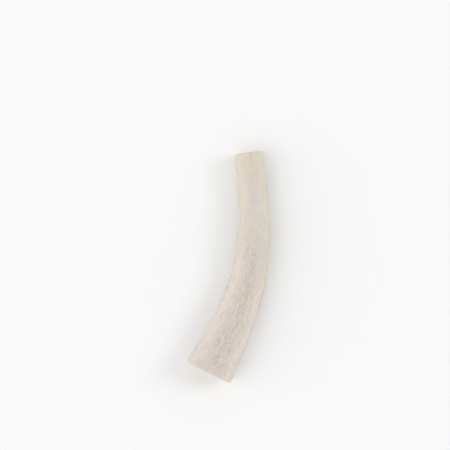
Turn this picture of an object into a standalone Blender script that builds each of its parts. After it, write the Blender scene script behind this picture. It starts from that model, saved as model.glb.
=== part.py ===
"""A sawn length of deer antler, lying on its side on a flat surface.

The beam is a loft: oval rings stand square to one smooth bent line, and their width and
thickness grow towards the wide end. Swells, two shallow troughs, lengthwise grooves and
small knobs shape those rings, the underside is flat where it lies, and both ends are sawn
square. Metres, +Z up, the origin on the surface under the middle of the antler.
"""

import math
import random

import bmesh
import bpy
from mathutils import Vector

MM = 0.001

# The beam's line and its oval sections, narrow end first: a smooth run led by four control
# sections, each (x, y, width, thickness) in millimetres as seen from above.
CONTROL_SECTIONS = (
    (22.5, 73.0, 27.6, 25.5),
    (41.7, -49.2, 33.2, 26.5),
    (10.9, -90.1, 37.3, 30.5),
    (-17.1, -146.7, 49.0, 34.0),
)
OVAL_POWER = 2.2  # 2 is a true ellipse, more is squarer
SAWN_EDGE = 1.1  # rounding where the saw cut meets the bark

# How it lies: the underside dips below the surface at three places and is flat there.
REST_PLACES = (0.08, 0.50, 0.92)  # share of the beam's line
REST_DEPTH = 0.85
REST_RISE = 1.3  # how far the underside lifts between those places

# Long swells of the beam: (height, waves along the beam, lobes around it, phase)
SWELLS = (
    (0.42, 2.3, 1, 1.1),
    (0.34, 4.1, 2, 0.4),
    (0.20, 7.3, 3, 2.1),
    (0.14, 12.7, 2, 4.0),
)

# Troughs that deepen towards the wide end, where the beam begins to part into two tines:
# (angle in degrees, depth at the wide end, half width, where it begins)
TROUGHS = (
    (92.0, 1.9, 6.5, 0.30),
    (-84.0, 1.5, 7.5, 0.45),
)

# Lengthwise grooves: (angle at the narrow end, angle at the wide end, begins, ends, depth)
GROOVES = (
    (58.0, 40.0, 0.10, 0.80, 0.30),
    (76.0, 83.0, 0.24, 0.97, 0.42),
    (104.0, 101.0, 0.18, 0.90, 0.38),
    (140.0, 150.0, 0.02, 0.55, 0.32),
    (168.0, 186.0, 0.28, 0.98, 0.60),
    (212.0, 205.0, 0.00, 0.72, 0.70),
    (238.0, 250.0, 0.15, 1.00, 0.75),
    (283.0, 276.0, 0.05, 0.86, 0.80),
    (316.0, 303.0, 0.00, 0.94, 0.75),
    (345.0, 338.0, 0.22, 1.00, 0.60),
    (14.0, 22.0, 0.05, 0.62, 0.45),
)
GROOVE_HALF_WIDTH = 1.5
GROOVE_WANDER = 4.0  # degrees to each side
GROOVE_FADE = 0.08  # share of the line over which a groove runs out

# Small knobs in rows between the grooves: (rows' angle, rows' spread, from, to, how many)
KNOB_ROWS = (
    (84.0, 12.0, 0.28, 0.97, 26),
    (196.0, 8.0, 0.30, 0.96, 18),
    (262.0, 14.0, 0.10, 0.95, 24),
    (330.0, 12.0, 0.12, 0.96, 26),
    (4.0, 8.0, 0.45, 0.98, 16),
)
KNOB_RADIUS = (1.6, 2.5)
KNOB_HEIGHT = (0.35, 0.75)
KNOB_SEED = 7

RINGS = 82
POINTS_AROUND = 52
BARK_SLOT = 0
SAWN_SLOT = 1

BARK_COLOUR = (0.62, 0.55, 0.47, 1.0)
SAWN_COLOUR = (0.58, 0.49, 0.38, 1.0)
BARK_ROUGHNESS = 0.55
SAWN_ROUGHNESS = 0.8


def smoothstep(low, high, value):
    """0 below low, 1 above high, and a smooth rise between."""
    share = min(max((value - low) / (high - low), 0.0), 1.0)
    return share * share * (3.0 - 2.0 * share)


def bezier_weights(t):
    """How much each of the four control sections counts at t."""
    s = 1.0 - t
    return (s**3, 3 * t * s * s, 3 * t * t * s, t**3)


def bezier_slopes(t):
    """How fast those weights change at t."""
    s = 1.0 - t
    return (-3 * s * s, 3 * s * s - 6 * t * s, 6 * t * s - 3 * t * t, 3 * t * t)


def blend(weights, column):
    """One column of the control sections, blended by the weights."""
    return sum(w * section[column] for w, section in zip(weights, CONTROL_SECTIONS))


def section_at(t):
    """The ring's centre, its level sideways direction, its width and its thickness."""
    weights = bezier_weights(t)
    slopes = bezier_slopes(t)
    centre = Vector((blend(weights, 0), blend(weights, 1), 0.0))
    along = Vector((blend(slopes, 0), blend(slopes, 1), 0.0)).normalized()
    sideways = Vector((-along.y, along.x, 0.0))
    return centre, sideways, blend(weights, 2), blend(weights, 3)


def arc_between(angle, other, radius):
    """The distance along the bark between two angles."""
    turn = (angle - other + math.pi) % (2 * math.pi) - math.pi
    return turn * radius


def swell(t, angle):
    """The long uneven swelling of the beam."""
    return sum(
        height * math.sin(2 * math.pi * waves * t + phase) * math.cos(lobes * angle + phase)
        for height, waves, lobes, phase in SWELLS
    )


def trough(t, angle, radius):
    """The two shallow troughs of the flared end."""
    depth = 0.0
    for degrees, deepest, half_width, begins in TROUGHS:
        off = arc_between(angle, math.radians(degrees), radius) / half_width
        depth += deepest * smoothstep(begins, 1.0, t) * math.exp(-off * off)
    return depth


def groove(t, angle, radius):
    """The lengthwise grooves, each wandering a little and running out at its ends."""
    deepest = 0.0
    for index, (first, last, begins, ends, depth) in enumerate(GROOVES):
        wander = GROOVE_WANDER * math.sin(2 * math.pi * (2.1 * t + 0.37 * index))
        middle = math.radians(first + (last - first) * t + wander)
        off = arc_between(angle, middle, radius) / GROOVE_HALF_WIDTH
        run = smoothstep(begins - GROOVE_FADE, begins + GROOVE_FADE, t)
        run *= 1.0 - smoothstep(ends - GROOVE_FADE, ends + GROOVE_FADE, t)
        deepest = max(deepest, depth * run * math.exp(-off * off))
    return deepest


def make_knobs():
    """Where each small knob sits: (share of the line, angle, radius, height)."""
    draw = random.Random(KNOB_SEED)
    knobs = []
    for degrees, spread, first, last, count in KNOB_ROWS:
        for index in range(count):
            t = first + (last - first) * (index + draw.uniform(0.1, 0.9)) / count
            angle = math.radians(degrees + draw.uniform(-spread, spread))
            knobs.append((t, angle, draw.uniform(*KNOB_RADIUS), draw.uniform(*KNOB_HEIGHT)))
    return knobs


def knob_height(t, angle, radius, length, knobs):
    """The height of the tallest knob that covers this point of the bark."""
    tallest = 0.0
    for knob_t, knob_angle, reach, height in knobs:
        lengthwise = (t - knob_t) * length / (1.5 * reach)
        if abs(lengthwise) > 2.0:
            continue
        across = arc_between(angle, knob_angle, radius) / reach
        tallest = max(tallest, height * math.exp(-lengthwise**2 - across**2))
    return tallest


def line_length():
    """The length of the beam's line in millimetres."""
    centres = [section_at(index / 100)[0] for index in range(101)]
    return sum((after - before).length for before, after in zip(centres, centres[1:]))


def rise_at(t):
    """How far the underside lifts off the surface between the places where it rests."""
    span = REST_PLACES[1] - REST_PLACES[0]
    return REST_RISE * math.sin(math.pi * (t - REST_PLACES[0]) / span) ** 2


def bark_point(t, angle, length, knobs):
    """One point of the bark, in metres."""
    centre, sideways, width, thickness = section_at(t)
    cosine = math.cos(angle)
    sine = math.sin(angle)
    squareness = (abs(cosine) ** OVAL_POWER + abs(sine) ** OVAL_POWER) ** (-1 / OVAL_POWER)
    outward = Vector((cosine / width, sine / thickness)).normalized()
    radius = (width + thickness) / 4
    relief = swell(t, angle) - trough(t, angle, radius) - groove(t, angle, radius)
    relief += knob_height(t, angle, radius, length, knobs)
    across = width / 2 * squareness * cosine + outward.x * relief
    height = thickness / 2 * squareness * sine + outward.y * relief
    height += thickness / 2 - REST_DEPTH + rise_at(t)
    point = centre + sideways * across
    point.z = height
    return point * MM


def make_material(name, colour, roughness):
    """A plain material of one colour."""
    material = bpy.data.materials.new(name)
    material.use_nodes = True
    shader = material.node_tree.nodes["Principled BSDF"]
    shader.inputs["Base Color"].default_value = colour
    shader.inputs["Roughness"].default_value = roughness
    shader.inputs["Metallic"].default_value = 0.0
    return material


def loft_beam(bm):
    """Rings of bark points bridged one to the next, and a flat saw cut across each end."""
    knobs = make_knobs()
    length = line_length()
    loops = []
    for ring in range(RINGS):
        t = ring / (RINGS - 1)
        corners = [
            bm.verts.new(bark_point(t, 2 * math.pi * step / POINTS_AROUND, length, knobs))
            for step in range(POINTS_AROUND)
        ]
        loops.append([
            bm.edges.new((corner, corners[(index + 1) % POINTS_AROUND]))
            for index, corner in enumerate(corners)
        ])
    for near, far in zip(loops, loops[1:]):
        bmesh.ops.bridge_loops(bm, edges=near + far)
    for end in (loops[0], loops[-1]):
        cut = bmesh.ops.contextual_create(bm, geom=end)["faces"]
        for face in cut:
            face.material_index = SAWN_SLOT
        bmesh.ops.bevel(
            bm,
            geom=end,
            offset=SAWN_EDGE * MM,
            offset_type="OFFSET",
            segments=2,
            profile=0.5,
            affect="EDGES",
            material=BARK_SLOT,
        )
    bmesh.ops.recalc_face_normals(bm, faces=bm.faces)


def lay_down(bm):
    """Flattens what dips below the surface, and centres the antler's outline over the origin."""
    for vertex in bm.verts:
        vertex.co.z = max(vertex.co.z, 0.0)
    xs = [vertex.co.x for vertex in bm.verts]
    ys = [vertex.co.y for vertex in bm.verts]
    middle = Vector((min(xs) + max(xs), min(ys) + max(ys), 0.0)) / 2
    bmesh.ops.translate(bm, vec=-middle, verts=bm.verts)


def make_antler(collection):
    """The whole antler as one object."""
    bm = bmesh.new()
    loft_beam(bm)
    lay_down(bm)
    mesh = bpy.data.meshes.new("antler")
    bm.to_mesh(mesh)
    bm.free()
    mesh.materials.append(make_material("antler_bark", BARK_COLOUR, BARK_ROUGHNESS))
    mesh.materials.append(make_material("antler_sawn", SAWN_COLOUR, SAWN_ROUGHNESS))
    mesh.shade_smooth()
    mesh.set_sharp_from_angle(angle=math.radians(50))
    antler = bpy.data.objects.new("antler", mesh)
    collection.objects.link(antler)
    return antler


def clear_scene():
    for existing in list(bpy.data.objects):
        bpy.data.objects.remove(existing, do_unlink=True)


def main():
    clear_scene()
    collection = bpy.data.collections.new("deer_antler")
    bpy.context.scene.collection.children.link(collection)
    make_antler(collection)


main()
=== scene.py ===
import math
import random

import bmesh
import bpy
import numpy as np
from bpy.props import FloatProperty, FloatVectorProperty, IntProperty, PointerProperty
from bpy.types import Node, NodeSocket, Operator, Panel, PropertyGroup
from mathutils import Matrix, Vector


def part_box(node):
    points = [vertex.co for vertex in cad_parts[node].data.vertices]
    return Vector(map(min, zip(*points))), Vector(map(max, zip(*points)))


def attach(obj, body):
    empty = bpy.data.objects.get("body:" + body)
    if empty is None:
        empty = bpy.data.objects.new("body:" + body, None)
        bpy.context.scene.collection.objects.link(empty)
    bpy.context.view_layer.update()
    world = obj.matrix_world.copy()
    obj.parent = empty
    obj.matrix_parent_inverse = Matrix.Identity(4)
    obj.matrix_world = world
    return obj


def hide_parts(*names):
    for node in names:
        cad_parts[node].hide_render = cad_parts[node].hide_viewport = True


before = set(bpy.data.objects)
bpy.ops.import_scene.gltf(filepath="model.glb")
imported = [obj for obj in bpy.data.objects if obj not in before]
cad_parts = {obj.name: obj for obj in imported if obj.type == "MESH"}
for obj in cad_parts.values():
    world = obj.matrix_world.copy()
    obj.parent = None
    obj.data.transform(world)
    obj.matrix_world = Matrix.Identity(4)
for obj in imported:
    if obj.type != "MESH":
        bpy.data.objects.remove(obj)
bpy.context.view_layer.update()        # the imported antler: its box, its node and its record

bl_info = {
    "name": "Deer Antler",
    "version": (1, 0, 0),
    "blender": (4, 5, 0),
    "location": "View3D > Sidebar > Antler",
    "description": "A sawn length of cleaned deer antler, and the plain stage it lies on",
    "category": "Add Mesh",
}

MM = 0.001

# The beam's line and its oval sections, narrow end first: a smooth run led by four control
# sections, each (x, y, width, thickness) in millimetres as seen from above.
CONTROL_SECTIONS = (
    (22.5, 73.0, 27.6, 25.5),
    (41.7, -49.2, 33.2, 26.5),
    (10.9, -90.1, 37.3, 30.5),
    (-17.1, -146.7, 49.0, 34.0),
)
OVAL_POWER = 2.2  # 2 is a true ellipse, more is squarer
LINE_STEPS = 2000  # in which the line's length is measured

# How it lies: the underside dips below the surface at three places and is flat there.
REST_PLACES = (0.08, 0.50, 0.92)  # share of the beam's line
REST_DEPTH = 0.85  # how far it would dip there
REST_RISE = 1.3  # how far the underside lifts between those places

# Long swells of the beam: (height, waves along the beam, lobes around it, phase)
SWELLS = (
    (0.42, 2.3, 1, 1.1),
    (0.34, 4.1, 2, 0.4),
    (0.20, 7.3, 3, 2.1),
    (0.14, 12.7, 2, 4.0),
)

# Troughs that deepen towards the wide end, where the beam begins to part into two tines:
# (angle in degrees, depth at the wide end, half width, where it begins)
TROUGHS = (
    (92.0, 1.9, 6.5, 0.30),
    (-84.0, 1.5, 7.5, 0.45),
)

# Lengthwise grooves: (angle at the narrow end, angle at the wide end, begins, ends, depth)
GROOVES = (
    (58.0, 40.0, 0.10, 0.80, 0.30),
    (76.0, 83.0, 0.24, 0.97, 0.42),
    (104.0, 101.0, 0.18, 0.90, 0.38),
    (140.0, 150.0, 0.02, 0.55, 0.32),
    (168.0, 186.0, 0.28, 0.98, 0.60),
    (212.0, 205.0, 0.00, 0.72, 0.70),
    (238.0, 250.0, 0.15, 1.00, 0.75),
    (283.0, 276.0, 0.05, 0.86, 0.80),
    (316.0, 303.0, 0.00, 0.94, 0.75),
    (345.0, 338.0, 0.22, 1.00, 0.60),
    (14.0, 22.0, 0.05, 0.62, 0.45),
)
GROOVE_HALF_WIDTH = 1.5
GROOVE_WANDER = 4.0  # degrees to each side
GROOVE_WAVES = 2.1  # how many times each groove wanders to both sides
GROOVE_LAG = 0.37  # share of a wave between a groove and the next one in the list
GROOVE_FADE = 0.08  # share of the line over which a groove runs out
DEEPEST_GROOVE = max(groove[4] for groove in GROOVES)

# Small knobs in rows between the grooves: (rows' angle, rows' spread, from, to, how many)
KNOB_ROWS = (
    (84.0, 12.0, 0.28, 0.97, 26),
    (196.0, 8.0, 0.30, 0.96, 18),
    (262.0, 14.0, 0.10, 0.95, 24),
    (330.0, 12.0, 0.12, 0.96, 26),
    (4.0, 8.0, 0.45, 0.98, 16),
)
KNOB_RADIUS = (1.6, 2.5)
KNOB_HEIGHT = (0.35, 0.75)
KNOB_STRETCH = 1.5  # how much longer than wide a knob is
KNOB_LEEWAY = (0.1, 0.9)  # where in its own stretch of the row a knob may stand
KNOB_SEED = 7

# The granular band along each row of knobs, whose places are shares of the line
BAND_SPREAD = 1.6  # how much wider than the row it is
BAND_BEGINS = (-0.06, 0.10)  # where it sets in and where it is full, from the row's beginning
BAND_FADE = 0.05  # over which it fades, from the row's end

# The fine skin of the mesh
RINGS = 390
POINTS_AROUND = 192
EDGE_RINGS = 5  # rings over the rounding of each sawn edge
SEAM_ANGLE = math.radians(-90)  # the texture's seam runs along the underside
CAP_STEP = 0.5  # millimetres between the rings of a sawn face
CLOSEST_POINTS = 0.3  # millimetres between neighbours before a ring is thinned
FEWEST_POINTS = 8
CUT_FADE = 4.0  # millimetres from a saw cut over which the fine relief sets in
NARROW_END = 0.0  # the two ends, as shares of the beam's line
WIDE_END = 1.0
BARK_SLOT = 0
SAWN_SLOT = 1
KEPT_VALUES = ("grooved", "rugged", "grainy", "from_edge")  # each point's values, in this order
FROM_EDGE = KEPT_VALUES.index("from_edge")

# The visible face was rubbed smooth, so its bark is low between these angles off the top.
SMOOTH_FACE = (math.radians(45), math.radians(105))
SMOOTH_FACE_SHARE = 0.15

# The unwrapped bark and sawn faces on the texture square
TEXTURE_MM = 262.0  # millimetres along each side of the square
BARK_STRIP_MM = 150.0
STRIP_MARGIN_MM = 6.0
SAWN_FACE_PLACES_MM = {NARROW_END: (200.0, 40.0), WIDE_END: (200.0, 120.0)}

# Random patterns on the straightened beam: (width across it, length along it, detail). One pixel
# of the render is about 1 mm, so a pattern that is finer than that on real antler is drawn as
# coarse as it needs to show, and its comment gives the real size.
PATTERNS = {
    "coarse areas": (9 * MM, 40 * MM, 2.0),  # where the ridges run coarse, and between them fine
    "fibres": (1.8 * MM, 12 * MM, 3.0),  # bundles of fibres; really about 0.5 mm wide
    "patches": (11 * MM, 60 * MM, 4.0),  # ivory and rosy grey patches, as wide as a finger rubs
    "highlight_streaks": (1.2 * MM, 14 * MM, 2.0),  # lengthwise streaks in the shoulders' painted highlight and paler rubbing
    "scratches": (0.5 * MM, 9 * MM, 3.0),  # scratches and fine pores; really about 0.1 mm wide
    "worn marks": (1.1 * MM, 6 * MM, 3.0),  # short low places that the rubbing left grey
    "marked areas": (12 * MM, 45 * MM, 2.0),  # where those marks are strong
    "stains": (1.3 * MM, 20 * MM, 4.0),  # stained lines on the rugged sides
    "specks": (1.4 * MM, 1.9 * MM, 3.0),  # grey between the pearls; really 0.5 to 1 mm wide
    "marrow border": (4 * MM, 4 * MM, 3.0),  # how far the marrow reaches into the dense bone
    "marrow clouds": (3 * MM, 3 * MM, 3.0),  # paler and darker marrow
}
MIDDLE_VALUE = 0.5  # a random pattern runs from 0 to 1, mostly near this

# How strongly each shows: (the value where it sets in, the value where it is full, its share up
# to the first, its share from the second on)
STRENGTHS = {
    "coarse areas": (0.40, 0.60, 0.0, 1.0),
    "patches": (0.28, 0.70, 0.0, 1.0),
    "highlight_streaks": (0.35, 0.65, 0.5, 1.5),
    "scratches": (0.48, 0.78, 0.0, 0.22),
    "worn marks": (0.76, 1.0, 0.0, 1.0),
    "marked areas": (0.38, 0.62, 0.14, 0.48),
    "stains": (0.42, 0.75, 0.0, 0.5),
    "specks": (0.42, 0.62, 0.1, 0.5),
    "marrow clouds": (0.32, 0.68, 0.0, 1.0),
    "furrows": (0.15, 0.9, 0.0, 0.8),  # by their depth
    "grooves": (0.15, 1.0, 0.0, 1.0),  # by their depth
    "stained grooves": (0.1, 0.9, 0.2, 0.7),  # by the ruggedness of the bark
    "between pearls": (0.1, 0.6, 1.0, 0.0),  # by the pearls' height
    "patches along": (20 * MM, 160 * MM, -0.12, 0.06),  # by the distance from the narrow cut
    "marks along": (60 * MM, 110 * MM, 0.5, 1.0),  # by the same distance
    # The shoulders' painted highlight, over bark partly paler from rubbing:
    "shoulder highlight along": (90 * MM, 150 * MM, 0.0, 1.0),  # by the same distance
    "shoulder highlight aside": (6 * MM, 13 * MM, 0.0, 0.36),  # by the distance sideways from the middle
}

# Ridges and the furrows between them
CURVE_LENGTHS = (42 * MM, 34 * MM)  # over which a coarse and a fine ridge bends
CURVE_WIDTH_SHARE = 0.3  # how far to the side ridges bend alike, as a share of that length
RIDGE_WANDER = 11.0  # half a turn, 3.14, is one ridge to the side
MORE_FINE_RIDGES = 15  # how many more fine ridges than coarse ones go round the beam
FINE_FURROWS = 0.8  # their depth where no coarse ones run, as a share of the coarse ones'
FURROW_SHARPNESS = 1.6  # more is narrower
EXTRA_FIBRES = 0.15  # added to the bark's ruggedness, so that the smooth face has some too

# Pearls and pores are grains with an uneven rim. Their sizes are shares of their spacing.
PEARL_STRETCH = 1.3  # how much longer than wide a pearl is
PEARL_RIM = (0.4, 0.4)  # size and depth of the rim's unevenness
PEARL_DOME = (0.28, 0.76)  # from the middle to where the top ends, and to the foot
PEARLS_THERE = (0.65, 0.75)  # share of the places that have a whole pearl, and any at all
PEARLS_ON_RIDGES = 0.45  # height of those outside the granular bands, as a share of the others'
PORE_RIM = (0.45, 0.7)
PORE_REACH = 0.64  # from the middle to halfway down the side
PORE_SLOPE = 0.14  # half the width of the side in the mesh
PORE_EDGE = 0.06  # half the width of the side in the colour
SMALL_PORE_EDGE = 0.08
SMALL_PORE_SPACING = 0.85 * MM  # too fine to show as it is, really about 0.4 mm

# The ragged border between dense bone and marrow, in shares of the dense bone's thickness
MARROW_BORDER = (0.75, 1.35)
MARROW_RAGGEDNESS = 1.3

# How strongly these are coloured, where 1 is the whole colour
PEARL_TOP_TINT = 0.2
PORE_TINT = 0.85
SMALL_PORE_TINT = 0.7  # as a share of the large ones'

# Scratches and saw marks, which are relief of the finish alone
SCRATCH_DEPTH = 0.14 * MM
WORN_MARK_DEPTH = 0.4  # as a share of the scratches' depth
SCRATCHED_MARKS = 0.5  # how much the scratches break up the worn marks
SAW_MARK_WIDTH = 0.7 * MM  # too fine to show as it is, really about 0.2 mm
SAW_MARK_LENGTH = 60 * MM
SAW_MARK_TURN = math.radians(24)
SAW_MARK_DEPTH = 0.12 * MM
SMALL_PORE_DEPTH = 1.5  # as a share of the saw marks' depth

# Typical of cleaned bone: satin where it is rubbed, matt where it is sawn
BONE_IOR = 1.54
SATIN_ROUGHNESS = 0.42
DULL_ROUGHNESS = 0.68
SAWN_ROUGHNESS = 0.72
GRAINY_DULLNESS = 0.5  # of the granular band: 0 is satin, 1 is dull

# Where the camera of the photograph looked, and the height at which 1 pixel is 1 mm
PHOTO_CENTRE = (-0.0033, 0.0416)
PHOTO_HEIGHT = 0.016

# The pale floor and its light, which is white and nearly even: (where a soft light shines from,
# how wide it looks from the floor)
FLOOR_COLOUR = "#FAFAFA"
FLOOR_ROUGHNESS = 0.9
LIGHT_COLOUR = "#FFFFFF"
KEY_LIGHT = ((0.8, 0.2, 0.57), math.radians(25))
FILL_LIGHT = ((-0.8, -0.2, 0.57), math.radians(70))
HORIZON_BAND = (0.05, 0.5)  # how far up the horizon's light reaches: 0 is level, 1 straight up


def linear(code):
    """A linear RGBA colour from an sRGB hex code, by the sRGB standard's own numbers."""
    parts = [int(code[i : i + 2], 16) / 255 for i in (1, 3, 5)]
    return tuple(p / 12.92 if p <= 0.04045 else ((p + 0.055) / 1.055) ** 2.4 for p in parts) + (1.0,)


def smoothstep(low, high, value):
    """0 below low, 1 above high, and a smooth rise between."""
    share = np.clip((value - low) / (high - low), 0.0, 1.0)
    return share * share * (3.0 - 2.0 * share)


# ---- the beam ------------------------------------------------------------------------------


def section_at(t):
    """The rings' centres, level sideways directions, widths and thicknesses, one row per t."""
    # The control sections' weights on a cubic Bezier line, and how fast each weight changes
    s = 1.0 - t
    weights = np.stack([s**3, 3 * t * s * s, 3 * t * t * s, t**3], axis=-1)
    slopes = np.stack([-3 * s * s, 3 * s * s - 6 * t * s, 6 * t * s - 3 * t * t, 3 * t * t], axis=-1)
    blended = weights @ np.array(CONTROL_SECTIONS)
    along = (slopes @ np.array(CONTROL_SECTIONS))[..., :2]
    along /= np.linalg.norm(along, axis=-1, keepdims=True)
    sideways = np.stack([-along[..., 1], along[..., 0]], axis=-1)
    return blended[..., :2], sideways, blended[..., 2], blended[..., 3]


def line_lengths(t):
    """How far along the beam's line each t lies, in millimetres."""
    fine = np.linspace(0.0, 1.0, LINE_STEPS + 1)
    steps = np.linalg.norm(np.diff(section_at(fine)[0], axis=0), axis=1)
    return np.interp(t, fine, np.concatenate([[0.0], np.cumsum(steps)]))


def arc_between(angle, other, radius):
    """The distance along the bark between two angles."""
    return ((angle - other + np.pi) % (2 * np.pi) - np.pi) * radius


def swell(t, angle):
    """The long uneven swelling of the beam."""
    return sum(
        height * np.sin(2 * np.pi * waves * t + phase) * np.cos(lobes * angle + phase)
        for height, waves, lobes, phase in SWELLS
    )


def trough(t, angle, radius):
    """The two shallow troughs of the flared end."""
    depth = 0.0
    for degrees, deepest, half_width, begins in TROUGHS:
        off = arc_between(angle, math.radians(degrees), radius) / half_width
        depth = depth + deepest * smoothstep(begins, 1.0, t) * np.exp(-off * off)
    return depth


def groove(t, angle, radius):
    """The lengthwise grooves, each wandering a little and running out at its ends."""
    deepest = np.zeros(np.broadcast(t, angle).shape)
    for index, (first, last, begins, ends, depth) in enumerate(GROOVES):
        wander = GROOVE_WANDER * np.sin(2 * np.pi * (GROOVE_WAVES * t + GROOVE_LAG * index))
        middle = np.radians(first + (last - first) * t + wander)
        off = arc_between(angle, middle, radius) / GROOVE_HALF_WIDTH
        run = smoothstep(begins - GROOVE_FADE, begins + GROOVE_FADE, t)
        run = run * (1.0 - smoothstep(ends - GROOVE_FADE, ends + GROOVE_FADE, t))
        deepest = np.maximum(deepest, depth * run * np.exp(-off * off))
    return deepest


def knobs(t, angle, radius, length):
    """The height of the tallest small knob over each point of the bark."""
    draw = random.Random(KNOB_SEED)
    tallest = np.zeros(np.broadcast(t, angle).shape)
    for degrees, spread, first, last, count in KNOB_ROWS:
        for index in range(count):
            knob_t = first + (last - first) * (index + draw.uniform(*KNOB_LEEWAY)) / count
            knob_angle = math.radians(degrees + draw.uniform(-spread, spread))
            reach = draw.uniform(*KNOB_RADIUS)
            height = draw.uniform(*KNOB_HEIGHT)
            lengthwise = (t - knob_t) * length / (KNOB_STRETCH * reach)
            across = arc_between(angle, knob_angle, radius) / reach
            tallest = np.maximum(tallest, height * np.exp(-(lengthwise**2) - across**2))
    return tallest


def rise_at(t):
    """How far the underside lifts off the surface between the places where it rests."""
    span = REST_PLACES[1] - REST_PLACES[0]
    return REST_RISE * np.sin(np.pi * (t - REST_PLACES[0]) / span) ** 2


def bark_points(t, angle):
    """Points of the bark in millimetres, before the antler is centred, and its groove share."""
    t, angle = np.broadcast_arrays(t, angle)
    centre, sideways, width, thickness = section_at(t)
    cosine, sine = np.cos(angle), np.sin(angle)
    squareness = (abs(cosine) ** OVAL_POWER + abs(sine) ** OVAL_POWER) ** (-1 / OVAL_POWER)
    outward = np.stack([cosine / width, sine / thickness], axis=-1)
    outward /= np.linalg.norm(outward, axis=-1, keepdims=True)
    radius = (width + thickness) / 4
    grooved = groove(t, angle, radius)
    relief = swell(t, angle) - trough(t, angle, radius) - grooved
    relief = relief + knobs(t, angle, radius, line_lengths(1.0))
    across = width / 2 * squareness * cosine + outward[..., 0] * relief
    height = thickness / 2 * squareness * sine + outward[..., 1] * relief
    height = height + thickness / 2 - REST_DEPTH + rise_at(t)
    level = centre + sideways * across[..., None]
    return np.concatenate([level, height[..., None]], axis=-1), grooved / DEEPEST_GROOVE


def graininess(t, angle):
    """Where the bark is granular: 1 along the rows of knobs, fading to each side."""
    most = np.zeros(np.broadcast(t, angle).shape)
    for degrees, spread, first, last, _ in KNOB_ROWS:
        off = arc_between(angle, math.radians(degrees), 1.0) / math.radians(BAND_SPREAD * spread)
        run = smoothstep(first + BAND_BEGINS[0], first + BAND_BEGINS[1], t)
        run = run * (1 - smoothstep(last, last + BAND_FADE, t))
        most = np.maximum(most, run * np.exp(-off * off))
    return most


def ruggedness(angle):
    """How strongly the bark is ridged: low on the smooth upper face, full underneath."""
    off = np.abs(arc_between(angle, math.pi / 2, 1.0))
    return SMOOTH_FACE_SHARE + (1 - SMOOTH_FACE_SHARE) * smoothstep(*SMOOTH_FACE, off)


# ---- the skin ------------------------------------------------------------------------------


class Skin:
    """The antler's points, faces and the values kept on them, gathered ring by ring."""

    def __init__(self):
        self.points, self.places, self.values = [], [], []
        self.faces, self.slots, self.texture = [], [], []
        self.count = 0

    def add_points(self, points, places, values):
        """Adds points, and gives back their numbers."""
        self.points.append(points)
        self.places.append(places)
        self.values.append(values)
        numbers = np.arange(self.count, self.count + len(points))
        self.count += len(points)
        return numbers

    def add_faces(self, corners, texture, slot):
        """Adds faces of one corner count, with the texture place of each corner."""
        self.faces.append(corners)
        self.texture.append(texture)
        self.slots.append(np.full(len(corners), slot))


def ring_shares(edge):
    """Each bark ring's place along the line (0 to 1) and how far its points are drawn in."""
    length = line_lengths(1.0)
    turn = np.linspace(0.0, math.pi / 2, EDGE_RINGS + 1)[1:]
    inset = edge * (1 - np.cos(turn))
    from_cut = edge * (1 - np.sin(turn)) / length
    plain = np.linspace(edge / length, 1 - edge / length, RINGS)
    shares = np.concatenate([from_cut[::-1], plain, 1 - from_cut])
    insets = np.concatenate([inset[::-1], np.zeros(RINGS), inset])
    return shares, insets


def add_bark(skin, edge):
    """The side of the antler, from the edge of one saw cut to the edge of the other."""
    shares, insets = ring_shares(edge)
    angle = SEAM_ANGLE + 2 * np.pi * np.arange(POINTS_AROUND) / POINTS_AROUND
    points, grooved = bark_points(shares[:, None], angle[None, :])

    # The rounding of both edges: their rings are drawn in towards the middle of the beam
    centre, _, _, thickness = section_at(shares)
    middle_height = thickness / 2 - REST_DEPTH + rise_at(shares)
    middle = np.concatenate([centre, middle_height[:, None]], axis=1)[:, None, :]
    reach = np.linalg.norm(points - middle, axis=2, keepdims=True)
    points = middle + (points - middle) * (1 - insets[:, None, None] / reach)

    # Each point's place on the straightened beam, a round bar as thick as the beam's middle
    along, around = np.broadcast_arrays(line_lengths(shares)[:, None], angle[None, :])
    _, _, width, thickness = section_at(0.5)
    core = (width + thickness) / 4
    places = np.stack([core * np.cos(around), core * np.sin(around), along], axis=-1)

    # The fine relief sets in a little way from each cut
    from_cut = np.minimum(along, line_lengths(1.0) - along)
    fade = smoothstep(edge, edge + CUT_FADE, from_cut)
    grainy = graininess(shares[:, None], angle[None, :])
    values = np.stack([grooved, ruggedness(around) * fade, grainy * fade, 0 * along], axis=-1)
    values = values.reshape(-1, len(KEPT_VALUES))
    numbers = skin.add_points(points.reshape(-1, 3), places.reshape(-1, 3), values)
    numbers = numbers.reshape(len(shares), POINTS_AROUND)

    # Faces between neighbouring rings, unwrapped as one upright strip
    after = np.roll(numbers, -1, axis=1)
    corners = np.stack([numbers[:-1], after[:-1], after[1:], numbers[1:]], axis=-1)
    u = STRIP_MARGIN_MM + BARK_STRIP_MM * np.arange(POINTS_AROUND + 1) / POINTS_AROUND
    v = STRIP_MARGIN_MM + line_lengths(shares)
    lattice = np.stack(np.meshgrid(u, v), axis=-1) / TEXTURE_MM
    texture = np.stack([lattice[:-1, :-1], lattice[:-1, 1:], lattice[1:, 1:], lattice[1:, :-1]], axis=2)
    skin.add_faces(corners.reshape(-1, 4), texture.reshape(-1, 4, 2), BARK_SLOT)
    return numbers


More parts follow.
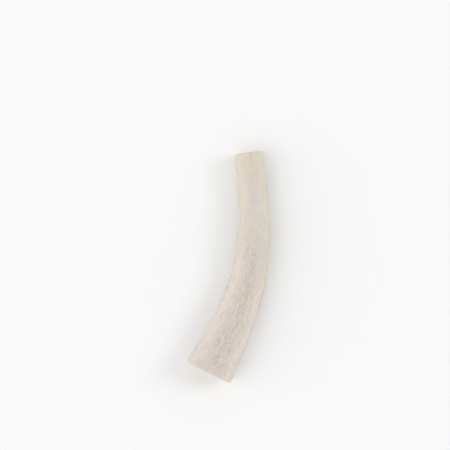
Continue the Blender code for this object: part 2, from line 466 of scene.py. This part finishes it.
def add_sawn_face(skin, rim, end):
    """A sawn face: rings that shrink from the rim to the middle, thinned as they close in."""
    points = np.concatenate(skin.points)[rim]
    sideways = section_at(end)[1]
    along = line_lengths(end)
    middle = (points.min(axis=0) + points.max(axis=0)) / 2
    flat = np.stack([(points - middle)[:, :2] @ sideways, points[:, 2] - middle[2]], axis=1)
    reach = np.linalg.norm(flat, axis=1)
    rings = int(round(reach.mean() / CAP_STEP))
    on_texture = np.array(SAWN_FACE_PLACES_MM[end])

    def add_ring(every, shrink):
        """Adds one ring of points, and gives back their numbers and their places on the face."""
        inner_flat = flat[::every] * shrink
        inner = middle + (points[::every] - middle) * shrink
        places = np.concatenate([inner_flat, np.full((len(inner), 1), along)], axis=1)
        values = np.zeros((len(inner), len(KEPT_VALUES)))
        values[:, FROM_EDGE] = reach[::every] * (1 - shrink)
        return skin.add_points(inner, places, values), inner_flat

    def add_strip(corners):
        """Adds faces whose corners are given as (ring, which of its points)."""
        numbers = np.stack([ring[0][which] for ring, which in corners], axis=1)
        places = np.stack([ring[1][which] for ring, which in corners], axis=1)
        skin.add_faces(numbers, (on_texture + places) / TEXTURE_MM, SAWN_SLOT)

    outer, every = (rim, flat), 1
    for ring in range(rings - 1, 0, -1):
        shrink = ring / rings
        spacing = 2 * np.pi * reach.mean() * shrink * every / POINTS_AROUND
        thin = spacing < CLOSEST_POINTS and POINTS_AROUND // every > FEWEST_POINTS
        every *= 2 if thin else 1
        inner = add_ring(every, shrink)
        here = np.arange(len(inner[0]))
        after = np.roll(here, -1)
        if thin:
            add_strip(((outer, 2 * here), (outer, 2 * here + 1), (inner, here)))
            add_strip(((outer, 2 * here + 1), (inner, after), (inner, here)))
            add_strip(((outer, 2 * here + 1), (outer, 2 * after), (inner, after)))
        else:
            add_strip(((outer, here), (outer, after), (inner, after), (inner, here)))
        outer = inner
    hub = add_ring(POINTS_AROUND, 0.0)
    here = np.arange(len(outer[0]))
    add_strip(((outer, here), (outer, np.roll(here, -1)), (hub, 0 * here)))


def laid_down(points):
    """The points laid on the surface, with their outline centred where the frame's is."""
    points = points.copy()
    points[:, 2] = np.maximum(points[:, 2], 0.0)
    frame_middle = np.array(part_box("antler")).mean(axis=0) / MM
    points[:, :2] += (frame_middle - (points.min(axis=0) + points.max(axis=0)) / 2)[:2]
    return points


def skin_mesh(edge):
    """The whole skin as one mesh, with the values that its relief and colours follow."""
    skin = Skin()
    numbers = add_bark(skin, edge)
    add_sawn_face(skin, numbers[0], NARROW_END)
    add_sawn_face(skin, numbers[-1], WIDE_END)
    mesh = bpy.data.meshes.new("antler_skin")
    points = laid_down(np.concatenate(skin.points)) * MM
    mesh.from_pydata(points.tolist(), [], [face for block in skin.faces for face in block.tolist()])
    slots = np.concatenate(skin.slots)
    mesh.polygons.foreach_set("material_index", slots)
    sawn = mesh.attributes.new("sawn", "BOOLEAN", "FACE")
    sawn.data.foreach_set("value", slots == SAWN_SLOT)

    # Each corner's place on the texture square, kept as a UV map named OFBake
    texture = np.concatenate([block.reshape(-1, 2) for block in skin.texture])
    mesh.uv_layers.new(name="OFBake").uv.foreach_set("vector", texture.ravel())

    places = np.concatenate(skin.places) * MM
    beam_place = mesh.attributes.new("beam_place", "FLOAT_VECTOR", "POINT")
    beam_place.data.foreach_set("vector", places.ravel())
    values = np.concatenate(skin.values)
    values[:, FROM_EDGE] *= MM
    for name, column in zip(KEPT_VALUES, values.T):
        mesh.attributes.new(name, "FLOAT", "POINT").data.foreach_set("value", column.copy())

    # Both sawn faces come out facing the same way along the beam, so all are turned outwards
    bm = bmesh.new()
    bm.from_mesh(mesh)
    bmesh.ops.recalc_face_normals(bm, faces=bm.faces)
    bm.to_mesh(mesh)
    bm.free()
    mesh.shade_smooth()
    return mesh


# ---- nodes and patterns --------------------------------------------------------------------

MATH = "ShaderNodeMath"
VECTOR_MATH = "ShaderNodeVectorMath"
COMBINE = "ShaderNodeCombineXYZ"
SEPARATE = "ShaderNodeSeparateXYZ"
RANGE = "ShaderNodeMapRange"
NOISE = "ShaderNodeTexNoise"
CELLS = "ShaderNodeTexVoronoi"
MIX = "ShaderNodeMix"
BUMP = "ShaderNodeBump"
KEPT_VALUE = "ShaderNodeAttribute"
EASED = {"interpolation_type": "SMOOTHSTEP"}  # a range that is eased and held at its ends

# The sockets of a node that blends colours. They go by number, as it has others of their names.
SHARE = 0
UNDER = 6
OVER = 7
BLENDED = 2


def add_node(tree, kind, inputs=(), **settings):
    """Adds a node with its settings and links.

    The inputs go by name or number, or else in the node's own order. Each is a value to set, a
    socket to link, or a node whose first output is linked.
    """
    node = tree.nodes.new(kind)
    for name, value in settings.items():
        setattr(node, name, value)
    for name, value in inputs.items() if isinstance(inputs, dict) else enumerate(inputs):
        source = value.outputs[0] if isinstance(value, Node) else value
        if isinstance(source, NodeSocket):
            tree.links.new(source, node.inputs[name])
        else:
            node.inputs[name].default_value = value
    return node


def random_pattern(tree, place, name):
    """The random pattern of this name, from 0 to 1."""
    width, length, detail = PATTERNS[name]
    counted = add_node(tree, VECTOR_MATH, (place, (width, width, length)), operation="DIVIDE")
    return add_node(tree, NOISE, {"Vector": counted, "Scale": 1.0, "Detail": detail})


def eased_pattern(tree, place, name):
    """The random pattern of this name, eased to the shares that it shows with."""
    pattern = random_pattern(tree, place, name)
    return add_node(tree, RANGE, (pattern, *STRENGTHS[name]), **EASED)


def rough_grains(tree, place, spacing, rim, stretch=1.0):
    """Grains with an uneven rim: how far a point is from the nearest middle, and a chance."""
    length = add_node(tree, MATH, (spacing, stretch), operation="MULTIPLY")
    grain = add_node(tree, COMBINE, (spacing, spacing, length))
    counted = add_node(tree, VECTOR_MATH, (place, grain), operation="DIVIDE")
    grains = add_node(tree, CELLS, {"Vector": counted, "Scale": 1.0}, feature="F1").outputs
    rim_size, rim_depth = rim
    fine = add_node(tree, MATH, (spacing, rim_size), operation="MULTIPLY")
    speck = add_node(tree, COMBINE, (fine, fine, fine))
    counted = add_node(tree, VECTOR_MATH, (place, speck), operation="DIVIDE")
    uneven = add_node(tree, NOISE, {"Vector": counted, "Scale": 1.0})
    uneven = add_node(tree, MATH, (uneven, rim_depth), operation="MULTIPLY")
    from_middle = add_node(tree, MATH, (grains["Distance"], uneven), operation="ADD")
    return from_middle, add_node(tree, SEPARATE, (grains["Color"],))


def pearls(tree, place, spacing):
    """Uneven round grains, 1 at the top of each, with some of them left out."""
    from_top, chance = rough_grains(tree, place, spacing, PEARL_RIM, PEARL_STRETCH)
    there = add_node(tree, RANGE, (chance, *PEARLS_THERE, 1.0, 0.0), **EASED)
    dome = add_node(tree, RANGE, (from_top, *PEARL_DOME, 1.0, 0.0), **EASED)
    return add_node(tree, MATH, (dome, there), operation="MULTIPLY")


def pits(tree, place, spacing, half_side):
    """Open pores of uneven size, 1 at the bottom of each, with sides of this half width."""
    from_middle, _ = rough_grains(tree, place, spacing, PORE_RIM)
    limits = (PORE_REACH - half_side, PORE_REACH + half_side, 1.0, 0.0)
    return add_node(tree, RANGE, (from_middle, *limits), **EASED)


def valleys(tree, place, count, length):
    """Narrow valleys between this many long ridges round the beam: 1 along each bottom."""
    width = CURVE_WIDTH_SHARE * length
    counted = add_node(tree, VECTOR_MATH, (place, (width, width, length)), operation="DIVIDE")
    wander = add_node(tree, NOISE, {"Vector": counted, "Scale": 1.0})
    wander = add_node(tree, MATH, (wander, RIDGE_WANDER), operation="MULTIPLY")
    part = add_node(tree, SEPARATE, (place,)).outputs
    # A wave crosses zero twice, and each crossing is a valley
    waves = add_node(tree, MATH, (count, 0.5), operation="MULTIPLY")
    depth = add_node(tree, MATH, (part["Y"], part["X"]), operation="ARCTAN2")
    for operation, other in (("MULTIPLY", waves), ("ADD", wander), ("SINE", 0.0), ("ABSOLUTE", 0.0)):
        depth = add_node(tree, MATH, (depth, other), operation=operation)
    depth = add_node(tree, MATH, (1.0, depth), operation="SUBTRACT")
    return add_node(tree, MATH, (depth, FURROW_SHARPNESS), operation="POWER")


def furrows(tree, place, count, rugged):
    """Long furrows that wander, fade and join: coarse ones in places, finer ones elsewhere."""
    coarse_share = eased_pattern(tree, place, "coarse areas")
    fine_share = add_node(tree, MATH, (FINE_FURROWS, coarse_share), operation="SUBTRACT")
    fine_count = add_node(tree, MATH, (count, MORE_FINE_RIDGES), operation="ADD")
    coarse = valleys(tree, place, count, CURVE_LENGTHS[0])
    coarse = add_node(tree, MATH, (coarse, coarse_share), operation="MULTIPLY")
    fine = valleys(tree, place, fine_count, CURVE_LENGTHS[1])
    fine = add_node(tree, MATH, (fine, fine_share), operation="MULTIPLY")
    deeper = add_node(tree, MATH, (coarse, fine), operation="MAXIMUM")
    return add_node(tree, MATH, (deeper, rugged), operation="MULTIPLY")


def marrow_share(tree, place, from_edge, bone_thickness):
    """0 in the dense outer bone and 1 in the marrow, with a ragged, gradual border."""
    ragged = random_pattern(tree, place, "marrow border")
    ragged = add_node(tree, MATH, (ragged, MIDDLE_VALUE), operation="SUBTRACT")
    ragged = add_node(tree, MATH, (ragged, MARROW_RAGGEDNESS), operation="MULTIPLY")
    inward = add_node(tree, MATH, (from_edge, bone_thickness), operation="DIVIDE")
    inward = add_node(tree, MATH, (inward, ragged), operation="ADD")
    return add_node(tree, RANGE, (inward, *MARROW_BORDER), **EASED)


# ---- relief --------------------------------------------------------------------------------


def relief_tree(settings):
    """Raises the fine ridges, pearls and grain of the bark and sinks the marrow's pores."""
    tree = bpy.data.node_groups.new("antler_relief", "GeometryNodeTree")
    sockets = tree.interface
    sockets.new_socket("Geometry", in_out="INPUT", socket_type="NodeSocketGeometry")
    for name, value in settings.items():
        kind = {float: "Float", int: "Int"}.get(type(value), "Material")
        sockets.new_socket(name, in_out="INPUT", socket_type="NodeSocket" + kind)
    sockets.new_socket("Geometry", in_out="OUTPUT", socket_type="NodeSocketGeometry")
    given = add_node(tree, "NodeGroupInput").outputs
    kept = {
        name: add_node(tree, "GeometryNodeInputNamedAttribute", {"Name": name}, data_type=kind)
        for name, kind in (
            ("beam_place", "FLOAT_VECTOR"),
            ("rugged", "FLOAT"),
            ("grainy", "FLOAT"),
            ("from_edge", "FLOAT"),
            ("sawn", "BOOLEAN"),
        )
    }
    place, rugged = kept["beam_place"], kept["rugged"]

    furrow = furrows(tree, place, given["Ridge Count"], rugged)

    # Fibres: fine lengthwise unevenness, a little of it on the smooth face too
    fibres = random_pattern(tree, place, "fibres")
    fibres = add_node(tree, MATH, (fibres, MIDDLE_VALUE), operation="SUBTRACT")
    fibrous = add_node(tree, MATH, (rugged, EXTRA_FIBRES), operation="ADD")
    fibres = add_node(tree, MATH, (fibres, fibrous), operation="MULTIPLY")

    # Pearls: round grains along the rows of knobs, and lower ones on the rugged bark
    pearly = add_node(tree, MATH, (rugged, PEARLS_ON_RIDGES), operation="MULTIPLY")
    pearly = add_node(tree, MATH, (kept["grainy"], pearly), operation="MAXIMUM")
    pearl = pearls(tree, place, given["Pearl Spacing"])
    pearl = add_node(tree, MATH, (pearl, pearly), operation="MULTIPLY")

    # Marrow: it lies a little lower than the dense bone at the edge, and its pores are pits
    marrow = marrow_share(tree, place, kept["from_edge"], given["Bone Thickness"])
    pore = pits(tree, place, given["Pore Spacing"], PORE_SLOPE)
    pore = add_node(tree, MATH, (pore, marrow), operation="MULTIPLY")

    height = 0.0
    for share, size, step in (
        (pearl, "Pearl Height", "ADD"),
        (fibres, "Fibre Height", "ADD"),
        (furrow, "Ridge Depth", "SUBTRACT"),
        (pore, "Pore Depth", "SUBTRACT"),
        (marrow, "Marrow Depth", "SUBTRACT"),
    ):
        change = add_node(tree, MATH, (share, given[size]), operation="MULTIPLY")
        height = add_node(tree, MATH, (height, change), operation=step)
    normal = add_node(tree, "GeometryNodeInputNormal")
    lift = add_node(tree, VECTOR_MATH, {"Vector": normal, "Scale": height}, operation="SCALE")
    moved = {"Geometry": given["Geometry"], "Offset": lift}
    skin = add_node(tree, "GeometryNodeSetPosition", moved)
    skin = add_node(tree, "GeometryNodeRealizeInstances", {"Geometry": skin})
    for where, finish in ((True, "Bark"), (kept["sawn"], "Sawn Face")):
        dressed = {"Geometry": skin, "Selection": where, "Material": given[finish]}
        skin = add_node(tree, "GeometryNodeSetMaterial", dressed)
    add_node(tree, "NodeGroupOutput", {"Geometry": skin})
    return tree


def add_relief(antler, shape, bark, sawn):
    """Runs the relief tree on the skin and keeps its result as a plain mesh."""
    chosen = {
        "Ridge Count": shape.ridge_count,
        "Ridge Depth": shape.ridge_depth,
        "Fibre Height": shape.fibre_height,
        "Pearl Spacing": shape.pearl_spacing,
        "Pearl Height": shape.pearl_height,
        "Bone Thickness": shape.bone_thickness,
        "Marrow Depth": shape.marrow_depth,
        "Pore Spacing": shape.pore_spacing,
        "Pore Depth": shape.pore_depth,
        "Bark": bark,
        "Sawn Face": sawn,
    }
    modifier = antler.modifiers.new("relief", "NODES")
    modifier.node_group = relief_tree(chosen)
    for item in modifier.node_group.interface.items_tree:
        if item.in_out == "INPUT" and item.name in chosen:
            modifier[item.identifier] = chosen[item.name]
    graph = bpy.context.evaluated_depsgraph_get()
    mesh = bpy.data.meshes.new_from_object(antler.evaluated_get(graph))
    antler.modifiers.remove(modifier)
    plain, antler.data = antler.data, mesh
    bpy.data.meshes.remove(plain)
    mesh.name = "antler_skin"
    for vertex in mesh.vertices:
        vertex.co.z = max(vertex.co.z, 0.0)


# ---- finishes ------------------------------------------------------------------------------


def new_material(name):
    """An empty node material, its tree and its shader."""
    material = bpy.data.materials.new(name)
    material.use_nodes = True
    return material, material.node_tree, material.node_tree.nodes["Principled BSDF"]


def cleaned_antler(shape, colours):
    """Cleaned, rubbed antler: satin ivory with cooler patches, greyer in furrows and grains."""
    material, tree, shader = new_material("cleaned_antler")
    place = add_node(tree, KEPT_VALUE, attribute_name="beam_place").outputs["Vector"]
    rugged, grainy, grooved = (
        add_node(tree, KEPT_VALUE, attribute_name=name).outputs["Fac"]
        for name in ("rugged", "grainy", "grooved")
    )
    part = add_node(tree, SEPARATE, (place,)).outputs

    # Rosy grey patches, more of them towards the wide end
    more = add_node(tree, RANGE, (part["Z"], *STRENGTHS["patches along"]), **EASED)
    patches = random_pattern(tree, place, "patches")
    patches = add_node(tree, MATH, (patches, more), operation="ADD")
    patches = add_node(tree, RANGE, (patches, *STRENGTHS["patches"]), **EASED)

    # The palest bark, in lengthwise streaks along both shoulders of the flared half: partly paler from
    # rubbing, partly a painted highlight where side light falls
    shoulder = add_node(tree, MATH, (part["X"],), operation="ABSOLUTE")
    shoulder = add_node(tree, RANGE, (shoulder, *STRENGTHS["shoulder highlight aside"]), **EASED)
    flared = add_node(tree, RANGE, (part["Z"], *STRENGTHS["shoulder highlight along"]), **EASED)
    rubbed_and_highlight = add_node(tree, MATH, (shoulder, flared), operation="MULTIPLY")
    highlight_streaks = eased_pattern(tree, place, "highlight_streaks")
    rubbed_and_highlight = add_node(tree, MATH, (rubbed_and_highlight, highlight_streaks), operation="MULTIPLY")

    # Scratches all over, and worn marks broken up by them, fewer on the narrow half
    scratches = random_pattern(tree, place, "scratches")
    scratched = add_node(tree, RANGE, (scratches, *STRENGTHS["scratches"]), **EASED)
    broken = add_node(tree, MATH, (scratches, SCRATCHED_MARKS), operation="MULTIPLY")
    marks = random_pattern(tree, place, "worn marks")
    marks = add_node(tree, MATH, (marks, broken), operation="ADD")
    marks = add_node(tree, RANGE, (marks, *STRENGTHS["worn marks"]), **EASED)
    marked = eased_pattern(tree, place, "marked areas")
    wide_half = add_node(tree, RANGE, (part["Z"], *STRENGTHS["marks along"]), **EASED)
    marked = add_node(tree, MATH, (marked, wide_half), operation="MULTIPLY")
    marked = add_node(tree, MATH, (marks, marked), operation="MULTIPLY")

    # Stains on the rugged sides, in the furrows and in the grooves
    stains = eased_pattern(tree, place, "stains")
    stains = add_node(tree, MATH, (stains, rugged), operation="MULTIPLY")
    furrow = furrows(tree, place, shape.ridge_count, rugged)
    furrow = add_node(tree, RANGE, (furrow, *STRENGTHS["furrows"]), **EASED)
    groove = add_node(tree, RANGE, (grooved, *STRENGTHS["grooves"]), **EASED)
    stained = add_node(tree, RANGE, (rugged, *STRENGTHS["stained grooves"]), **EASED)
    groove = add_node(tree, MATH, (groove, stained), operation="MULTIPLY")

    # Grey specks between the pearls of the granular band, whose tops are ivory
    pearl = pearls(tree, place, shape.pearl_spacing)
    between = add_node(tree, RANGE, (pearl, *STRENGTHS["between pearls"]), **EASED)
    specks = eased_pattern(tree, place, "specks")
    between = add_node(tree, MATH, (between, specks), operation="MULTIPLY")
    between = add_node(tree, MATH, (between, grainy), operation="MULTIPLY")
    top = add_node(tree, MATH, (pearl, grainy), operation="MULTIPLY")
    top = add_node(tree, MATH, (top, PEARL_TOP_TINT), operation="MULTIPLY")

    tone = tuple(colours.ivory)
    for share, colour in (
        (patches, colours.rosy_grey),
        (rubbed_and_highlight, colours.rubbed_and_highlight),
        (scratched, colours.furrow),
        (marked, colours.furrow),
        (stains, colours.furrow),
        (furrow, colours.furrow),
        (groove, colours.furrow),
        (between, colours.grain),
        (top, colours.ivory),
    ):
        blend = {SHARE: share, UNDER: tone, OVER: tuple(colour)}
        tone = add_node(tree, MIX, blend, data_type="RGBA").outputs[BLENDED]
    tree.links.new(tone, shader.inputs["Base Color"])

    # Satin where it was rubbed, and duller in the furrows and in the granular band
    dull = add_node(tree, MATH, (grainy, GRAINY_DULLNESS), operation="MULTIPLY")
    dull = add_node(tree, MATH, (furrow, dull), operation="ADD")
    dull = add_node(tree, RANGE, (dull, 0.0, 1.0, SATIN_ROUGHNESS, DULL_ROUGHNESS), **EASED)
    tree.links.new(dull.outputs[0], shader.inputs["Roughness"])
    shader.inputs["IOR"].default_value = BONE_IOR
    relief = add_node(tree, MATH, (marks, -WORN_MARK_DEPTH), operation="MULTIPLY")
    relief = add_node(tree, MATH, (relief, scratches), operation="SUBTRACT")
    bump = add_node(tree, BUMP, {"Height": relief, "Distance": SCRATCH_DEPTH})
    tree.links.new(bump.outputs[0], shader.inputs["Normal"])
    return material


def sawn_bone(shape, colours):
    """Sawn antler: a dense ivory ring round a tan, open-pored marrow, matt from the saw."""
    material, tree, shader = new_material("sawn_bone")
    place = add_node(tree, KEPT_VALUE, attribute_name="beam_place").outputs["Vector"]
    from_edge = add_node(tree, KEPT_VALUE, attribute_name="from_edge").outputs["Fac"]
    marrow = marrow_share(tree, place, from_edge, shape.bone_thickness)

    # Large pores, and between them smaller and paler ones
    faint = add_node(tree, MATH, (marrow, SMALL_PORE_TINT), operation="MULTIPLY")
    small = pits(tree, place, SMALL_PORE_SPACING, SMALL_PORE_EDGE)
    small = add_node(tree, MATH, (small, faint), operation="MULTIPLY")
    large = pits(tree, place, shape.pore_spacing, PORE_EDGE)
    large = add_node(tree, MATH, (large, marrow), operation="MULTIPLY")
    pore = add_node(tree, MATH, (small, large), operation="MAXIMUM")
    pore = add_node(tree, MATH, (pore, PORE_TINT), operation="MULTIPLY")

    # Dense bone and marrow in two tones each, and the pores over both
    cloud = eased_pattern(tree, place, "marrow clouds")
    blend = {SHARE: cloud, UNDER: tuple(colours.dense_bone), OVER: tuple(colours.ivory)}
    dense = add_node(tree, MIX, blend, data_type="RGBA").outputs[BLENDED]
    blend = {SHARE: cloud, UNDER: tuple(colours.marrow), OVER: tuple(colours.marrow_light)}
    spongy = add_node(tree, MIX, blend, data_type="RGBA").outputs[BLENDED]
    blend = {SHARE: marrow, UNDER: dense, OVER: spongy}
    tone = add_node(tree, MIX, blend, data_type="RGBA").outputs[BLENDED]
    blend = {SHARE: pore, UNDER: tone, OVER: tuple(colours.pore)}
    tone = add_node(tree, MIX, blend, data_type="RGBA").outputs[BLENDED]
    tree.links.new(tone, shader.inputs["Base Color"])
    shader.inputs["Roughness"].default_value = SAWN_ROUGHNESS
    shader.inputs["IOR"].default_value = BONE_IOR

    # Saw marks that run one way over the face, and the small pores
    turned = {"Vector": place, "Rotation": (0.0, 0.0, SAW_MARK_TURN)}
    across = add_node(tree, "ShaderNodeMapping", turned)
    size = (SAW_MARK_WIDTH, SAW_MARK_LENGTH, SAW_MARK_LENGTH)
    counted = add_node(tree, VECTOR_MATH, (across, size), operation="DIVIDE")
    saw_marks = add_node(tree, NOISE, {"Vector": counted, "Scale": 1.0})
    deep = add_node(tree, MATH, (small, SMALL_PORE_DEPTH), operation="MULTIPLY")
    relief = add_node(tree, MATH, (saw_marks, deep), operation="SUBTRACT")
    bump = add_node(tree, BUMP, {"Height": relief, "Distance": SAW_MARK_DEPTH})
    tree.links.new(bump.outputs[0], shader.inputs["Normal"])
    return material


# ---- settings and operators ----------------------------------------------------------------


def size_property(name, description, millimetres):
    """A length that a user can change."""
    limits = {"min": 0.0, "unit": "LENGTH", "precision": 5}
    return FloatProperty(name=name, description=description, default=millimetres * MM, **limits)


def colour_property(name, description, code):
    """A colour that a user can change, given as sRGB hex."""
    limits = {"size": 4, "subtype": "COLOR", "min": 0.0, "max": 1.0}
    return FloatVectorProperty(name=name, description=description, default=linear(code), **limits)


class AntlerShape(PropertyGroup):
    """Sizes of the antler's fine relief."""

    sawn_edge: size_property("Sawn Edge", "Rounding where a saw cut meets the bark", 1.1)
    ridge_count: IntProperty(
        name="Ridge Count", description="Long ridges round the beam", default=26, min=6, max=60
    )
    ridge_depth: size_property("Ridge Depth", "Depth of the valleys between ridges", 0.62)
    fibre_height: size_property("Fibre Height", "Unevenness of the fine lengthwise lines", 0.42)
    pearl_spacing: size_property("Pearl Spacing", "Distance between the small grains", 2.9)
    pearl_height: size_property("Pearl Height", "Height of the small grains", 0.38)
    bone_thickness: size_property("Bone Thickness", "Thickness of the dense outer bone", 4.8)
    marrow_depth: size_property("Marrow Depth", "How far the marrow lies below the dense bone", 0.25)
    pore_spacing: size_property("Pore Spacing", "Distance between the marrow's large pores", 1.9)
    pore_depth: size_property("Pore Depth", "Depth of the marrow's large pores", 0.7)


class AntlerColours(PropertyGroup):
    """Colours of the bark and of the sawn faces."""

    ivory: colour_property("Ivory", "Main colour of the bark", "#DDD5C0")
    rosy_grey: colour_property("Rosy Grey", "Cooler patches of the bark", "#DACFC9")
    # A painted highlight along the shoulders, over bark partly paler from rubbing
    rubbed_and_highlight: colour_property("Rubbed And Highlight", "Palest bark, along the flared end's shoulders", "#EFE4D6")
    furrow: colour_property("Furrow", "Bottom of the furrows", "#A89A8A")
    grain: colour_property("Grain", "Between the grains of the granular band", "#AEA7A2")
    dense_bone: colour_property("Dense Bone", "Outer ring of a sawn face", "#E2D6BF")
    marrow: colour_property("Marrow", "Spongy middle of a sawn face", "#AB9273")
    marrow_light: colour_property("Light Marrow", "Walls between the pores", "#C9B696")
    pore: colour_property("Pore", "Inside of the pores", "#65513C")


class StageSettings(PropertyGroup):
    """Floor, lights and camera."""

    floor_size: FloatProperty(
        name="Floor Size", description="Side of the pale floor", default=40.0, unit="LENGTH"
    )
    camera_height: FloatProperty(
        name="Camera Height", description="Height of the camera", default=2.0, unit="LENGTH"
    )
    frame_width: FloatProperty(
        name="Frame Width", description="Width that the view takes in", default=0.45, unit="LENGTH"
    )
    key_strength: FloatProperty(name="Key Strength", description="Main soft light", default=0.62)
    fill_strength: FloatProperty(name="Fill Strength", description="Second soft light", default=0.90)
    horizon_light: FloatProperty(
        name="Horizon Light", description="Even light from the sides", default=0.97
    )
    zenith_light: FloatProperty(name="Zenith Light", description="Even light from above", default=0.70)


class ANTLER_OT_make_antler(Operator):
    """Builds the antler as one closed skin and gives it its finishes"""

    bl_idname = "antler.make_antler"
    bl_label = "Make Antler"

    def execute(self, context):
        shape = context.scene.antler_shape
        colours = context.scene.antler_colours
        antler = bpy.data.objects.new("antler_skin", skin_mesh(shape.sawn_edge / MM))
        context.scene.collection.objects.link(antler)
        add_relief(antler, shape, cleaned_antler(shape, colours), sawn_bone(shape, colours))
        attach(antler, "root")
        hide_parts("antler")
        return {"FINISHED"}


class ANTLER_OT_set_stage(Operator):
    """Adds the pale floor, the soft lights and the camera that looks straight down"""

    bl_idname = "antler.set_stage"
    bl_label = "Set Stage"

    def execute(self, context):
        stage = context.scene.antler_stage
        bpy.ops.mesh.primitive_plane_add(size=stage.floor_size, location=(0, 0, 0))
        floor = context.object
        floor.name = "floor"
        material, _, shader = new_material("pale_floor")
        shader.inputs["Base Color"].default_value = linear(FLOOR_COLOUR)
        shader.inputs["Roughness"].default_value = FLOOR_ROUGHNESS
        floor.data.materials.append(material)

        world = bpy.data.worlds.new("even_light")
        world.use_nodes = True
        tree = world.node_tree
        direction = add_node(tree, "ShaderNodeTexCoord").outputs["Generated"]
        upward = add_node(tree, SEPARATE, (direction,)).outputs["Z"]
        strengths = (stage.horizon_light, stage.zenith_light)
        even = add_node(tree, RANGE, (upward, *HORIZON_BAND, *strengths), **EASED)
        background = tree.nodes["Background"]
        background.inputs["Color"].default_value = linear(LIGHT_COLOUR)
        tree.links.new(even.outputs[0], background.inputs["Strength"])
        context.scene.world = world

        for name, strength, place, spread in (
            ("key", stage.key_strength, *KEY_LIGHT),
            ("fill", stage.fill_strength, *FILL_LIGHT),
        ):
            light = bpy.data.lights.new(name, "SUN")
            light.energy = strength
            light.angle = spread
            lamp = bpy.data.objects.new(name, light)
            lamp.location = place
            lamp.rotation_euler = (-Vector(place)).to_track_quat("-Z", "Y").to_euler()
            context.scene.collection.objects.link(lamp)

        lens = bpy.data.cameras.new("camera")
        lens.lens = lens.sensor_width * (stage.camera_height - PHOTO_HEIGHT) / stage.frame_width
        camera = bpy.data.objects.new("camera", lens)
        camera.location = (*PHOTO_CENTRE, stage.camera_height)
        context.scene.collection.objects.link(camera)
        context.scene.camera = camera
        context.scene.view_settings.view_transform = "Standard"
        return {"FINISHED"}


class ANTLER_PT_panel(Panel):
    """Lists what builds the antler and its stage"""

    bl_label = "Antler"
    bl_idname = "ANTLER_PT_panel"
    bl_space_type = "VIEW_3D"
    bl_region_type = "UI"
    bl_category = "Antler"

    def draw(self, context):
        for operator in (ANTLER_OT_make_antler, ANTLER_OT_set_stage):
            self.layout.operator(operator.bl_idname)


CLASSES = (
    AntlerShape,
    AntlerColours,
    StageSettings,
    ANTLER_OT_make_antler,
    ANTLER_OT_set_stage,
    ANTLER_PT_panel,
)


def register():
    """Adds the classes, and the settings that each scene keeps."""
    for added in CLASSES:
        bpy.utils.register_class(added)
    bpy.types.Scene.antler_shape = PointerProperty(type=AntlerShape)
    bpy.types.Scene.antler_colours = PointerProperty(type=AntlerColours)
    bpy.types.Scene.antler_stage = PointerProperty(type=StageSettings)


def unregister():
    """Takes away what register adds."""
    del bpy.types.Scene.antler_stage
    del bpy.types.Scene.antler_colours
    del bpy.types.Scene.antler_shape
    for added in reversed(CLASSES):
        bpy.utils.unregister_class(added)


def main():
    """Makes the antler and its stage."""
    register()
    bpy.ops.antler.make_antler()
    bpy.ops.antler.set_stage()


if __name__ == "__main__":
    main()
